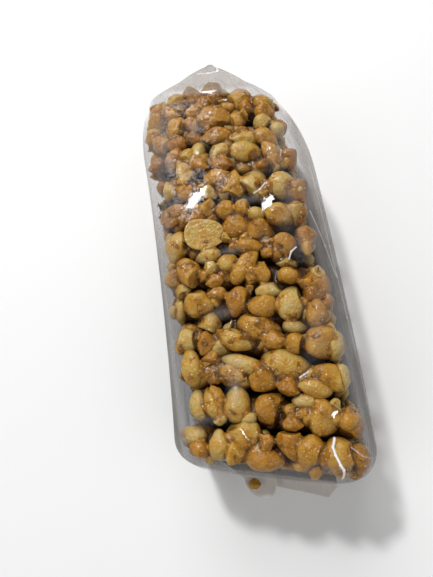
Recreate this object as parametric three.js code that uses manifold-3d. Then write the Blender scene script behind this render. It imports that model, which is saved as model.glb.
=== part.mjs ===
// A clear film pack of peanut brittle, lying on its side. Twelve slabs stand on edge in a row, skewed across the
// pack, and the film follows them: a ridge and kernel bumps over each slab, a shallow dip over each gap. The far
// end is folded into a flat tent, and two loose flaps of film stick out of the near end.
// Millimetres. +Z up, +Y towards the tent, +X to the right. The origin is under the middle of the pack.
import * as THREE from "three";
import { mergeVertices } from "three/addons/utils/BufferGeometryUtils.js";
import Module from "manifold-3d";

// Slabs of brittle
const SLAB_COUNT = 12;
const SLAB_PITCH = 10.8;
const SLAB_YAW = THREE.MathUtils.degToRad(15);
const ROW_END = (SLAB_COUNT * SLAB_PITCH) / 2;

// Film round the slabs. Left and right are measured along a slab, from the middle of the row. Halfway along the pack
// bows to the right: the left side is drawn in there and the right side stands further out.
const PACK_HEIGHT = 40.6;
const FILM_LEFT_FAR = 32;
const FILM_LEFT_NEAR = 32.6;
const FILM_LEFT_BOW = -2.2;
const FILM_RIGHT_FAR = 31.6;
const FILM_RIGHT_NEAR = 28;
const FILM_RIGHT_BOW = 1.3;
const SHOULDER_RADIUS = 11;
const FOOT_RADIUS = 6;

// Most that a rounding takes of the half height or half width where the section gets small
const SHOULDER_SHARE = 0.95;
const FOOT_SHARE = 0.8;
const TIP_SHARE = 0.9;

// Near end, which is flat with a rounded rim and a little less skewed than the slabs
const NEAR_END = -66.9;
const NEAR_RIM = 6.5;
const NEAR_RIM_UNDER = 0.5;
const NEAR_CORNER_LEFT = 8;
const NEAR_CORNER_RIGHT = 13;
const NEAR_YAW = THREE.MathUtils.degToRad(14);
const NEAR_BLEND = 15;

// Far end: the sides draw in, in a rounded shoulder and a nearly straight taper, and the film falls straight from
// the last slab to a narrow flat tip a little right of the middle
const TENT_START_LEFT = 38;
const TENT_START_RIGHT = 36;
const TENT_END = 89;
const SHOULDER_POWER = 2.3;
const TAPER_POWER = 0.85;
const TIP_HALF_WIDTH = 1.8;
const TIP_SHIFT = 1.5;
const TIP_TOP = 27;
const TIP_BOTTOM = 23;

// Relief of the slabs under the film
const GAP_DEPTH = 1.5;
const KERNEL_SPACING = 8;
const KERNEL_HALF_LENGTH = 6.2;
const KERNEL_HALF_WIDTH = 4.6;
const KERNEL_HEIGHT = 1.7;
const KERNEL_WANDER = 1.5;
const KERNEL_TURN = 0.9;
const RELIEF_FADE = 3;
const SIDE_CONTACT = 23;
const SIDE_RELEASE = 8;
const FOOT_CLEARANCE = 7;

// Loose flaps of film at the near end, rooted inside the pack: a rounded tongue, and a wider one with a corner cut off.
// Across is measured as the film's left and right are, and the ends as the near end is.
const FLAP_THICKNESS = 0.9;
const FLAP_ROOT = NEAR_END + 3;
const TONGUE_HEIGHT = 20;
const TONGUE_MIDDLE = -8.6;
const TONGUE_HALF_WIDTH = 5.1;
const TONGUE_LEFT_ROOT = -22.5;
const TONGUE_TIP = -74.9;
const CORNER_HEIGHT = 18;
const CORNER_LEFT = -4;
const CORNER_RIGHT = 15.5;
const CORNER_LEFT_TIP = -71.2;
const CORNER_RIGHT_TIP = -72.4;
const CORNER_CUT = 3.6;

// Fineness of the solid
const RING_POINTS = 64;
const STEPS_PER_SLAB = 5;
const TENT_STEPS = 12;
const RIM_STEPS = [0, 0.25, 0.75, 1.6];

const FILM_COLOUR = 0x8f6f45;

function seededRandom(seed) {
  const modulus = 2147483647;
  const multiplier = 16807;
  let state = seed;
  return () => {
    state = (state * multiplier) % modulus;
    return state / modulus;
  };
}

// The stations along the pack: a close rim at the near end, even steps over the slabs, longer ones on the tent.
function stationList() {
  const stations = RIM_STEPS.map((distance) => NEAR_END + distance);
  const slabSteps = SLAB_COUNT * STEPS_PER_SLAB;
  for (let step = 0; step <= slabSteps; step += 1) {
    stations.push(-ROW_END + (2 * ROW_END * step) / slabSteps);
  }
  for (let step = 1; step <= TENT_STEPS; step += 1) {
    const closer = Math.sin((Math.PI / 2) * (step / TENT_STEPS));
    stations.push(THREE.MathUtils.lerp(ROW_END, TENT_END, closer));
  }
  return stations;
}

// Half width that the tent leaves to a side of the pack at a station.
function drawnIn(halfWidth, start, station) {
  const along = THREE.MathUtils.clamp((station - start) / (TENT_END - start), 0, 1);
  return Math.max(TIP_HALF_WIDTH, halfWidth * (1 - along ** SHOULDER_POWER) ** TAPER_POWER);
}

// How far a rounding of the near end has pulled the section in.
function rimInset(radius, station) {
  const distance = Math.min(station - NEAR_END, radius);
  return radius - Math.sqrt(radius ** 2 - (radius - distance) ** 2);
}

// Sides, top and bottom of the pack at a station.
function sectionSizes(station) {
  const along = THREE.MathUtils.clamp((station + ROW_END) / (2 * ROW_END), 0, 1);
  const rim = rimInset(NEAR_RIM, station);
  const closing = THREE.MathUtils.clamp((station - ROW_END) / (TENT_END - ROW_END), 0, 1);
  const top = THREE.MathUtils.lerp(PACK_HEIGHT - rim, TIP_TOP, closing);
  const bottom = THREE.MathUtils.lerp(NEAR_RIM_UNDER * rim, TIP_BOTTOM, closing);
  const halfHeight = (top - bottom) / 2;
  const bow = Math.max(0, 1 - (station / ROW_END) ** 2);
  const leftSide = THREE.MathUtils.lerp(FILM_LEFT_NEAR, FILM_LEFT_FAR, along) + FILM_LEFT_BOW * bow;
  const rightSide = THREE.MathUtils.lerp(FILM_RIGHT_NEAR, FILM_RIGHT_FAR, along) + FILM_RIGHT_BOW * bow;
  const shift = TIP_SHIFT * closing;
  return {
    left: drawnIn(leftSide, TENT_START_LEFT, station) - rimInset(NEAR_CORNER_LEFT, station) - shift,
    right: drawnIn(rightSide, TENT_START_RIGHT, station) - rimInset(NEAR_CORNER_RIGHT, station) + shift,
    top,
    bottom,
    shoulder: Math.min(SHOULDER_RADIUS, SHOULDER_SHARE * halfHeight),
    foot: Math.min(FOOT_RADIUS, FOOT_SHARE * halfHeight),
  };
}

// Rounded outline of a section, from the middle of its bottom towards the right and round.
function sectionOutline({ left, right, top, bottom, shoulder, foot }) {
  const quarter = Math.PI / 2;
  const halfWidth = (left + right) / 2;
  const topRound = Math.min(shoulder, TIP_SHARE * halfWidth);
  const footRound = Math.min(foot, TIP_SHARE * halfWidth);
  const middle = right - halfWidth;
  const outline = new THREE.Path();
  outline.moveTo(middle, bottom);
  outline.lineTo(right - footRound, bottom);
  outline.absarc(right - footRound, bottom + footRound, footRound, -quarter, 0, false);
  outline.lineTo(right, top - topRound);
  outline.absarc(right - topRound, top - topRound, topRound, 0, quarter, false);
  outline.lineTo(topRound - left, top);
  outline.absarc(topRound - left, top - topRound, topRound, quarter, 2 * quarter, false);
  outline.lineTo(-left, bottom + footRound);
  outline.absarc(footRound - left, bottom + footRound, footRound, 2 * quarter, 3 * quarter, false);
  outline.lineTo(middle, bottom);
  return outline;
}

// Kernels that press against the film round one slab: a place round the section, one across it, and a size.
function slabKernels(slab, girth) {
  const random = seededRandom(101 + slab);
  const between = (low, high) => THREE.MathUtils.lerp(low, high, random());
  const kernels = [];
  let place = between(0, KERNEL_SPACING);
  while (place < girth) {
    kernels.push({
      place,
      across: between(-KERNEL_WANDER, KERNEL_WANDER),
      halfLength: KERNEL_HALF_LENGTH * between(0.7, 1.2),
      halfWidth: KERNEL_HALF_WIDTH * between(0.8, 1.2),
      height: KERNEL_HEIGHT * between(0.5, 1.2),
      turn: between(-KERNEL_TURN, KERNEL_TURN),
    });
    place += KERNEL_SPACING * between(0.75, 1.25);
  }
  return kernels;
}

// Height of the highest kernel bump at a place on a slab.
function kernelHeight(kernels, place, across) {
  let height = 0;
  for (const kernel of kernels) {
    const offset = new THREE.Vector2(place - kernel.place, across - kernel.across);
    offset.rotateAround(new THREE.Vector2(0, 0), kernel.turn);
    const reach = (offset.x / kernel.halfLength) ** 2 + (offset.y / kernel.halfWidth) ** 2;
    height = Math.max(height, kernel.height * Math.sqrt(Math.max(0, 1 - reach)));
  }
  return height;
}

// The film rests on the slabs along the top and stands clear of their ends. It lies flat below.
function contact(point) {
  const side = 1 - THREE.MathUtils.smoothstep(Math.abs(point.x), SIDE_CONTACT, SIDE_CONTACT + SIDE_RELEASE);
  const foot = THREE.MathUtils.smoothstep(point.y, FOOT_CLEARANCE, 2 * FOOT_CLEARANCE);
  return side * foot;
}

// Push one ring of points out or in by the relief of the slab that it lies on.
function reliefRing(points, station) {
  const slab = THREE.MathUtils.clamp(Math.floor((station + ROW_END) / SLAB_PITCH), 0, SLAB_COUNT - 1);
  const middle = -ROW_END + (slab + 0.5) * SLAB_PITCH;
  const across = station - middle;
  const betweenSlabs = Math.abs(station) < ROW_END - SLAB_PITCH / 2 ? 1 : 0;
  const gap = betweenSlabs * GAP_DEPTH * Math.abs((2 * across) / SLAB_PITCH) ** 4;
  const onRow = 1 - THREE.MathUtils.smoothstep(Math.abs(station), ROW_END - RELIEF_FADE, ROW_END);
  const girth = points.reduce((sum, point, i) => sum + point.distanceTo(points[(i + 1) % points.length]), 0);
  const kernels = slabKernels(slab, girth);
  return points.map((point, i) => {
    const before = points[(i + points.length - 1) % points.length];
    const after = points[(i + 1) % points.length];
    const outward = new THREE.Vector2(after.y - before.y, before.x - after.x).normalize();
    const relief = kernelHeight(kernels, (girth * i) / points.length, across) - gap;
    return point.clone().addScaledVector(outward, onRow * contact(point) * relief);
  });
}

// The section lies in the slabs' own skewed plane.
function skewed(point, station) {
  const nearness = 1 - THREE.MathUtils.smoothstep(station, NEAR_END, NEAR_END + NEAR_BLEND);
  const yaw = THREE.MathUtils.lerp(SLAB_YAW, NEAR_YAW, nearness);
  return [point.x * Math.cos(yaw), station - point.x * Math.sin(yaw), point.y];
}

// The pack's body: one skin through all the rings, closed by a fan at each end.
function packBody() {
  const positions = [];
  const index = [];
  const stations = stationList();
  for (const station of stations) {
    const outline = sectionOutline(sectionSizes(station));
    const ring = reliefRing(outline.getSpacedPoints(RING_POINTS).slice(0, RING_POINTS), station);
    ring.forEach((point) => positions.push(...skewed(point, station)));
  }
  const lastRing = (stations.length - 1) * RING_POINTS;
  const ends = [stations[0], stations[stations.length - 1]];
  for (const station of ends) {
    const { left, right, top, bottom } = sectionSizes(station);
    positions.push(...skewed(new THREE.Vector2((right - left) / 2, (top + bottom) / 2), station));
  }
  const nearCentre = stations.length * RING_POINTS;
  for (let i = 0; i < RING_POINTS; i += 1) {
    const next = (i + 1) % RING_POINTS;
    for (let start = 0; start < lastRing; start += RING_POINTS) {
      const beyond = start + RING_POINTS;
      index.push(start + i, beyond + i, beyond + next);
      index.push(start + i, beyond + next, start + next);
    }
    index.push(nearCentre, i, next);
    index.push(nearCentre + 1, lastRing + next, lastRing + i);
  }
  const geometry = new THREE.BufferGeometry();
  geometry.setAttribute("position", new THREE.Float32BufferAttribute(positions, 3));
  geometry.setIndex(index);
  return geometry;
}

// A loose flap of film: a thin plate whose outline is drawn in the skewed plan.
function flap(outline, height) {
  const settings = { depth: FLAP_THICKNESS, bevelEnabled: false, curveSegments: 8 };
  const geometry = new THREE.ExtrudeGeometry(outline, settings);
  const plan = new THREE.Matrix4();
  plan.set(Math.cos(SLAB_YAW), 0, 0, 0, -Math.sin(SLAB_YAW), 1, 0, 0, 0, 0, 1, height, 0, 0, 0, 1);
  return geometry.applyMatrix4(plan);
}

function tongueFlap() {
  const neck = TONGUE_TIP + TONGUE_HALF_WIDTH;
  const outline = new THREE.Shape();
  outline.moveTo(TONGUE_MIDDLE + TONGUE_HALF_WIDTH, FLAP_ROOT);
  outline.lineTo(TONGUE_LEFT_ROOT, FLAP_ROOT);
  outline.lineTo(TONGUE_MIDDLE - TONGUE_HALF_WIDTH, neck);
  outline.absarc(TONGUE_MIDDLE, neck, TONGUE_HALF_WIDTH, Math.PI, 2 * Math.PI, false);
  outline.closePath();
  return flap(outline, TONGUE_HEIGHT);
}

function cornerFlap() {
  const outline = new THREE.Shape();
  outline.moveTo(CORNER_RIGHT, FLAP_ROOT);
  outline.lineTo(CORNER_LEFT, FLAP_ROOT);
  outline.lineTo(CORNER_LEFT, CORNER_LEFT_TIP);
  outline.lineTo(CORNER_RIGHT - CORNER_CUT, CORNER_RIGHT_TIP);
  outline.lineTo(CORNER_RIGHT, CORNER_RIGHT_TIP + CORNER_CUT);
  outline.closePath();
  return flap(outline, CORNER_HEIGHT);
}

const wasm = await Module();
wasm.setup();

function toSolid(geometry) {
  const bare = geometry.clone();
  bare.deleteAttribute("normal");
  bare.deleteAttribute("uv");
  const merged = mergeVertices(bare);
  const vertProperties = new Float32Array(merged.getAttribute("position").array);
  const triVerts = new Uint32Array(merged.getIndex().array);
  return new wasm.Manifold(new wasm.Mesh({ numProp: 3, vertProperties, triVerts }));
}

function toGeometry(solid) {
  const { vertProperties, triVerts } = solid.getMesh();
  const geometry = new THREE.BufferGeometry();
  geometry.setAttribute("position", new THREE.BufferAttribute(vertProperties, 3));
  geometry.setIndex(new THREE.BufferAttribute(triVerts, 1));
  geometry.computeVertexNormals();
  return geometry;
}

// The whole pack, set down with the origin under the middle of its box.
function filmPack() {
  const solid = [tongueFlap(), cornerFlap()].reduce((sum, piece) => sum.add(toSolid(piece)), toSolid(packBody()));
  const geometry = toGeometry(solid);
  geometry.computeBoundingBox();
  const middle = geometry.boundingBox.getCenter(new THREE.Vector3());
  const material = new THREE.MeshStandardMaterial({ color: FILM_COLOUR, roughness: 0.3, metalness: 0 });
  const mesh = new THREE.Mesh(geometry, material);
  mesh.name = "film_pack";
  mesh.position.set(-middle.x, -middle.y, 0);
  return mesh;
}

const pack = new THREE.Group();
pack.add(filmPack());

export default pack;
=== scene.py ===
import math
import random

import bpy
import numpy as np
from mathutils import Matrix, Vector, noise
from mathutils.bvhtree import BVHTree


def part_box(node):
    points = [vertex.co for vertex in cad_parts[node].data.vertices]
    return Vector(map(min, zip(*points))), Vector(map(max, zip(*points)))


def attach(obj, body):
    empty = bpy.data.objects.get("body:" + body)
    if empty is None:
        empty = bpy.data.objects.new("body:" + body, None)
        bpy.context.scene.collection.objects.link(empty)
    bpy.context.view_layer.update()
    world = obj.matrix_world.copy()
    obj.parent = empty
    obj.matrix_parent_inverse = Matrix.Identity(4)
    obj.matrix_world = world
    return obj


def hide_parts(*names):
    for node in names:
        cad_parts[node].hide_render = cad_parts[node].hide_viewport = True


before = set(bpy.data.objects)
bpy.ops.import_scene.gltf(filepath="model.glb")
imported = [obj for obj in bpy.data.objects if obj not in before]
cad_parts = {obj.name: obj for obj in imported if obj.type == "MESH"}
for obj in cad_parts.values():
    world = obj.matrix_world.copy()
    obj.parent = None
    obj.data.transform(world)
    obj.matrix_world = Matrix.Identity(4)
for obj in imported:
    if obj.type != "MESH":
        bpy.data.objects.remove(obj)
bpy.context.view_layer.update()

# ---------------------------------------------------------------------------------------------------------------------
# The row: twelve slabs of brittle stand on edge behind one another, skewed across the pack. Every place below is
# worked out from the middle of the row, along a slab, across it and up.
pack_low, pack_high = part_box("film_pack")
TIP_REACH = 0.08908
LEFT_REACH = 0.03113
row_middle = Vector((pack_low.x + LEFT_REACH, pack_high.y - TIP_REACH, 0))
SLAB_COUNT = 12
SLAB_PITCH = 0.0108
SLAB_YAW = math.radians(15)
ROW_END = SLAB_COUNT * SLAB_PITCH / 2
SLAB_LENGTH = 0.0556
SLAB_HEIGHT = 0.0398
SLAB_THICKNESS = 0.0100
SLAB_SHIFT = -0.0010
SLAB_FOOT = 0.0006
slab_along = Vector((math.cos(SLAB_YAW), -math.sin(SLAB_YAW), 0))
slab_across = Vector((math.sin(SLAB_YAW), math.cos(SLAB_YAW), 0))
UP = Vector((0, 0, 1))

# How much shorter each slab is at its left and right ends, in millimetres, from the near slab to the far one
SLAB_TRIMS = [
    (0.0, 1.1), (3.4, 0.0), (1.5, 1.3), (2.0, 0.6), (1.4, 0.8), (1.0, 0.3),
    (1.5, 2.0), (1.0, 2.5), (1.0, 0.0), (0.0, 1.1), (0.5, 2.7), (2.0, 3.7),
]
slab_lengths = [SLAB_LENGTH - (left + right) / 1000 for left, right in SLAB_TRIMS]
slab_shifts = [SLAB_SHIFT + (left - right) / 2000 for left, right in SLAB_TRIMS]


def in_slab(slab, along, across, up):
    """A place in a slab: along it from its middle, across it, and up from its underside. Slab 0 is at the near end."""
    middle = row_middle + Vector((0, (slab + 0.5) * SLAB_PITCH - ROW_END, SLAB_FOOT))
    return middle + slab_along * along + slab_across * across + UP * up


def slab_of(place):
    """The slab at a place, with the place's distance along that slab and across it."""
    offset = place - row_middle
    across_row = offset.dot(slab_across) / slab_across.y
    slab = min(SLAB_COUNT - 1, max(0, int((across_row + ROW_END) // SLAB_PITCH)))
    local = place - in_slab(slab, 0, 0, 0)
    return slab, local.dot(slab_along), local.dot(slab_across)


# ---------------------------------------------------------------------------------------------------------------------
# The pack's form: the film stands round the row in rounded sections, closed nearly flat at the near end and drawn in
# to a flat tip at the far one. The brittle stays inside it. Left and right are measured along a slab.
PACK_HEIGHT = 0.0406
FILM_LEFT_FAR = 0.032
FILM_LEFT_NEAR = 0.0326
FILM_LEFT_BOW = -0.0022
FILM_RIGHT_FAR = 0.0316
FILM_RIGHT_NEAR = 0.028
FILM_RIGHT_BOW = 0.0013
SHOULDER_RADIUS = 0.011
FOOT_RADIUS = 0.006
NEAR_END = -0.0669
NEAR_RIM = 0.0065
NEAR_CORNER_LEFT = 0.008
NEAR_CORNER_RIGHT = 0.013
NEAR_YAW = math.radians(14)
NEAR_BLEND = 0.015
TENT_START_LEFT = 0.038
TENT_START_RIGHT = 0.036
TENT_END = 0.089
SHOULDER_POWER = 2.3
TAPER_POWER = 0.85
TIP_HALF_WIDTH = 0.0018
TIP_SHIFT = 0.0015
TIP_TOP = 0.027
TIP_BOTTOM = 0.023
RIM_BELOW = 0.5
ROUNDEST = 0.9
SHOULDER_SHARE = 0.95
FOOT_SHARE = 0.8
NEAR_CLEAR = 0.0004


def lerp(start, end, share):
    return start + (end - start) * share


def smooth(value, low, high):
    """0 below low, 1 above high, and smooth between."""
    share = np.clip((value - low) / (high - low), 0, 1)
    return share * share * (3 - 2 * share)


def rim_inset(radius, station):
    """How far a rim of this radius draws the film in, close to the near end."""
    distance = min(station - NEAR_END, radius)
    return radius - math.sqrt(max(0, radius ** 2 - (radius - distance) ** 2))


def drawn_in(half_width, start, station):
    """The film's half width where the tent draws it in, from a start along the pack to the tip."""
    along = np.clip((station - start) / (TENT_END - start), 0, 1)
    return max(TIP_HALF_WIDTH, half_width * (1 - along ** SHOULDER_POWER) ** TAPER_POWER)


def film_sizes(station):
    """The film's left, right, top and bottom at a station along the pack, and its radii above and below."""
    along = np.clip((station + ROW_END) / (2 * ROW_END), 0, 1)
    bow = max(0, 1 - (station / ROW_END) ** 2)
    rim = rim_inset(NEAR_RIM, station)
    closing = np.clip((station - ROW_END) / (TENT_END - ROW_END), 0, 1)
    top = lerp(PACK_HEIGHT - rim, TIP_TOP, closing)
    bottom = lerp(RIM_BELOW * rim, TIP_BOTTOM, closing)
    left = lerp(FILM_LEFT_NEAR, FILM_LEFT_FAR, along) + FILM_LEFT_BOW * bow
    right = lerp(FILM_RIGHT_NEAR, FILM_RIGHT_FAR, along) + FILM_RIGHT_BOW * bow
    shift = TIP_SHIFT * closing
    left = drawn_in(left, TENT_START_LEFT, station) - rim_inset(NEAR_CORNER_LEFT, station) - shift
    right = drawn_in(right, TENT_START_RIGHT, station) - rim_inset(NEAR_CORNER_RIGHT, station) + shift
    most = ROUNDEST * (left + right) / 2
    shoulder = min(SHOULDER_RADIUS, SHOULDER_SHARE * (top - bottom) / 2, most)
    foot = min(FOOT_RADIUS, FOOT_SHARE * (top - bottom) / 2, most)
    return left, right, top, bottom, shoulder, foot


SIZE_STEP = 0.0005
size_stations = np.arange(NEAR_END, TENT_END, SIZE_STEP)
size_table = np.array([film_sizes(station) for station in size_stations])


def pack_place(points):
    """Distance to the right along a slab, station along the pack and height of some points."""
    local = points - np.array(row_middle)
    return local[:, 0] / math.cos(SLAB_YAW), local[:, 1] + local[:, 0] * math.tan(SLAB_YAW), local[:, 2]


def outside(points, margin):
    """How far each point is outside the film less a margin, and the way back inside for it."""
    across, station, height = pack_place(points)
    left, right, top, bottom, shoulder, foot = [
        np.interp(station, size_stations, column) for column in size_table.T
    ]
    side = across - (right - left) / 2
    level = height - (top + bottom) / 2
    radius = np.where(level > 0, shoulder, foot)
    over_side = np.abs(side) - ((right + left) / 2 - radius)
    over_level = np.abs(level) - ((top - bottom) / 2 - radius)
    past = np.stack([np.maximum(over_side, 0), np.maximum(over_level, 0)])
    length = np.hypot(*past)
    distance = length + np.minimum(np.maximum(over_side, over_level), 0) - radius + margin
    ways = -np.sign(side)[:, None] * (past[0] / np.maximum(length, 1e-9))[:, None] * np.array(slab_along)
    ways -= np.sign(level)[:, None] * (past[1] / np.maximum(length, 1e-9))[:, None] * np.array(UP)
    wall = NEAR_END + margin + NEAR_CLEAR - station
    near = wall > distance
    return np.where(near, wall, distance), np.where(near[:, None], np.array([0, 1.0, 0]), ways)


# ---------------------------------------------------------------------------------------------------------------------
# The camera looks steeply down on the near half of the pack from close by, turned so that the row runs up the picture.
CAMERA_PLACE = row_middle + Vector((0.0114, -0.0510, 0.1735))
CAMERA_AZIMUTH = math.radians(25.7)
CAMERA_ELEVATION = math.radians(70.6)
CAMERA_ROLL = math.radians(-36.5)
PHOTO_WIDTH = 433
PHOTO_HEIGHT = 577
LENS_PIXELS = 450
SENSOR = 36
NEAREST_SEEN = 0.005
camera_data = bpy.data.cameras.new("camera")
camera_data.sensor_width = SENSOR
camera_data.lens = SENSOR * LENS_PIXELS / PHOTO_HEIGHT
camera_data.clip_start = NEAREST_SEEN
camera = bpy.data.objects.new("camera", camera_data)
bpy.context.collection.objects.link(camera)
looking = Vector((
    -math.sin(CAMERA_AZIMUTH) * math.cos(CAMERA_ELEVATION),
    math.cos(CAMERA_AZIMUTH) * math.cos(CAMERA_ELEVATION),
    -math.sin(CAMERA_ELEVATION),
))
camera_turn = looking.to_track_quat("-Z", "Y").to_matrix() @ Matrix.Rotation(CAMERA_ROLL, 3, "Z")
camera.matrix_world = Matrix.Translation(CAMERA_PLACE) @ camera_turn.to_4x4()
bpy.context.scene.camera = camera


def photo_spot(pixel, height):
    """The place at a height above the floor that lies behind a pixel of the photograph."""
    ray = camera_turn @ Vector((pixel[0] - PHOTO_WIDTH / 2, PHOTO_HEIGHT / 2 - pixel[1], -LENS_PIXELS))
    return CAMERA_PLACE + ray * ((height - CAMERA_PLACE.z) / ray.z)


# ---------------------------------------------------------------------------------------------------------------------
# Peanut kernels: blanched and roasted, whole, split in halves or broken. Each shape is modelled once, one unit long
# with its pointed end towards +X, and then copied into the slabs. Proportions are shares of the length, width and
# thickness that a copy is given.
FRESH_EDGE = 0.04
FRESH_INSET = 0.07
FRESH_SINK = 0.02
POLE_LIMIT = 0.98
BLUNT_SHARE = 0.3
SEAM_WIDTH = 0.06
SMALL_LUMPS = 4
LARGE_LUMPS = 2
LARGE_SHARE = 1.5


def new_lump(fineness):
    """A round lump of unit size with its poles on X, left in edit mode with everything selected."""
    bpy.ops.object.select_all(action="DESELECT")
    bpy.ops.mesh.primitive_uv_sphere_add(segments=fineness, ring_count=fineness * 3 // 4, radius=0.5)
    bpy.ops.object.mode_set(mode="EDIT")
    bpy.ops.mesh.select_all(action="SELECT")
    bpy.ops.transform.rotate(value=math.pi / 2, orient_axis="Y", center_override=(0, 0, 0))
    return bpy.context.object


def break_off(place, facing):
    """Breaks off what lies on the facing side of a plane, and roughens the fresh face a little."""
    bpy.ops.mesh.select_all(action="SELECT")
    bpy.ops.mesh.bisect(plane_co=place, plane_no=facing, use_fill=True, clear_outer=True)
    bpy.ops.mesh.inset(thickness=FRESH_EDGE, depth=0.0)
    bpy.ops.mesh.inset(thickness=FRESH_INSET, depth=-FRESH_SINK)


def taken_apart(thing):
    """A modelled shape's points and faces. Its object isn't needed any more."""
    points = np.array([vertex.co for vertex in thing.data.vertices])
    faces = [tuple(face.vertices) for face in thing.data.polygons]
    bpy.data.objects.remove(thing)
    return points, faces


def kernel_shape(fineness, seed, taper=0.1, bend=0.0, seam=0.0, lumps=0.1, cuts=(), split=False):
    """Points and faces of one kernel: tapered, bent, with the seam of its halves, lumpy, and broken off at its cuts."""
    lump = new_lump(fineness)
    for place, facing in cuts:
        break_off(place, facing)
    bpy.ops.object.mode_set(mode="OBJECT")
    points, faces = taken_apart(lump)
    end = np.clip(2 * points[:, 0], -POLE_LIMIT, POLE_LIMIT)
    slim = (1 - end) ** taper * (1 + end) ** (-BLUNT_SHARE * taper)
    points[:, 1] *= slim
    points[:, 2] *= slim
    points[:, 2] -= np.sign(points[:, 2]) * seam * np.exp(-((points[:, 1] / SEAM_WIDTH) ** 2)) * (1 - end ** 2)
    points[:, 2] += bend * (0.25 - points[:, 0] ** 2)
    offset = Vector((seed, 2 * seed, 3 * seed))
    push = np.array([
        1 + lumps * (
            noise.noise(Vector(point) * SMALL_LUMPS + offset)
            + LARGE_SHARE * noise.noise(Vector(point) * LARGE_LUMPS - offset)
        )
        for point in points
    ])
    points[:, 1] *= push
    points[:, 2] *= push
    if split:
        points[:, 2] = 2 * points[:, 2] - 0.5
    return points, faces


def kernel_shapes(fineness):
    """Every kind of kernel, in a few variants of each."""
    flat_side = [((0, 0, 0), (0, 0, -1))]
    return {
        "whole": [
            kernel_shape(fineness, 1.3, taper=0.16, lumps=0.14),
            kernel_shape(fineness, 4.1, bend=0.12, seam=0.04, lumps=0.16, cuts=[((-0.1, 0.4, 0.1), (-0.3, 1, 0.4))]),
            kernel_shape(fineness, 7.7, taper=0.24, bend=0.05, lumps=0.2, cuts=[((-0.4, 0, 0), (-1, 0.3, 0.2))]),
            kernel_shape(fineness, 2.9, taper=0.12, seam=0.05, lumps=0.18, cuts=[((0.1, -0.38, 0.1), (0.4, -1, 0.5))]),
        ],
        "rough": [
            kernel_shape(fineness, 2.2, bend=0.05, lumps=0.3),
            kernel_shape(fineness, 9.4, lumps=0.32, cuts=[((0.34, 0, 0), (1, 0.4, 0.3))]),
            kernel_shape(fineness, 5.2, lumps=0.34, cuts=[((-0.3, 0, 0.1), (-1, 0.2, 0.5))]),
        ],
        "split": [
            kernel_shape(fineness, 3.1, taper=0.14, lumps=0.08, cuts=flat_side, split=True),
            kernel_shape(fineness, 5.6, lumps=0.12, cuts=flat_side, split=True),
        ],
        "block": [
            kernel_shape(fineness, 6.3, cuts=[((0.3, 0, 0), (1, 0.1, 0.1)), ((-0.32, 0, 0), (-1, 0.2, 0))]),
            kernel_shape(fineness, 8.8, lumps=0.15, cuts=[((0.22, 0, 0), (1, -0.3, 0.2))]),
        ],
        "chip": [
            kernel_shape(fineness, 1.9, lumps=0.3, cuts=[
                ((0.2, 0, 0), (1, 0.5, 0)),
                ((0, -0.1, 0), (-0.2, -1, 0.2)),
                ((0, 0, 0.2), (0.2, 0, 1)),
            ]),
            kernel_shape(fineness, 3.7, lumps=0.35, cuts=[
                ((-0.2, 0, 0), (-1, 0.3, 0.3)),
                ((0.1, 0.15, 0), (0.6, 1, 0)),
            ]),
        ],
    }


TOP_SEGMENTS = 16
SIDE_SEGMENTS = 10
SHAPES = kernel_shapes(TOP_SEGMENTS)
PLAIN_SHAPES = kernel_shapes(SIDE_SEGMENTS)

# Tones, from the palest kernel to caramel-coated brown
PALE, STRAW, GOLDEN, AMBER, BROWN = TONES = 0.0, 0.25, 0.5, 0.72, 1.0

# How far a kernel stays inside the film, and how often it is moved to get there
KERNEL_CLEAR = 0.0005
INWARD_MOVES = 4


def new_piece(name, points, faces):
    mesh = bpy.data.meshes.new(name)
    mesh.from_pydata(points.tolist(), [], faces)
    piece = bpy.data.objects.new(name, mesh)
    bpy.context.collection.objects.link(piece)
    return piece


class Heap:
    """Copies of the kernel shapes, gathered into one mesh, with the tone and a random number kept for each copy."""

    def __init__(self):
        self.points = []
        self.faces = []
        self.tones = []
        self.lots = []
        self.copies = []
        self.count = 0

    def place_copy(self, shape, centre, along, up, size, tone, lot):
        """Puts a copy with its length, width and thickness along one direction, across it and up another."""
        along = along.normalized()
        side = up.cross(along).normalized()
        rise = along.cross(side)
        turn = np.array([along * size[0], side * size[1], rise * size[2]])
        points, faces = shape
        placed = points @ turn + np.array(centre)
        self.faces += [tuple(i + self.count for i in face) for face in faces]
        self.points.append(placed)
        self.tones += [tone] * len(points)
        self.lots += [lot] * len(points)
        self.count += len(points)

    def add(self, slab, *copy):
        """Puts a copy on a slab, moved inwards where it would reach the film."""
        self.place_copy(*copy)
        placed = self.points[-1]
        for _ in range(INWARD_MOVES):
            distances, ways = outside(placed, KERNEL_CLEAR)
            worst = distances.argmax()
            placed += ways[worst] * max(0, distances[worst])
        self.copies.append((slab, placed, copy[0][1]))

    def make(self, name):
        """The heap as one piece."""
        piece = new_piece(name, np.concatenate(self.points), self.faces)
        for attribute, values in (("tone", self.tones), ("lot", self.lots)):
            piece.data.attributes.new(attribute, "FLOAT", "POINT").data.foreach_set("value", values)
        piece.data.shade_smooth()
        return piece


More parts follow.
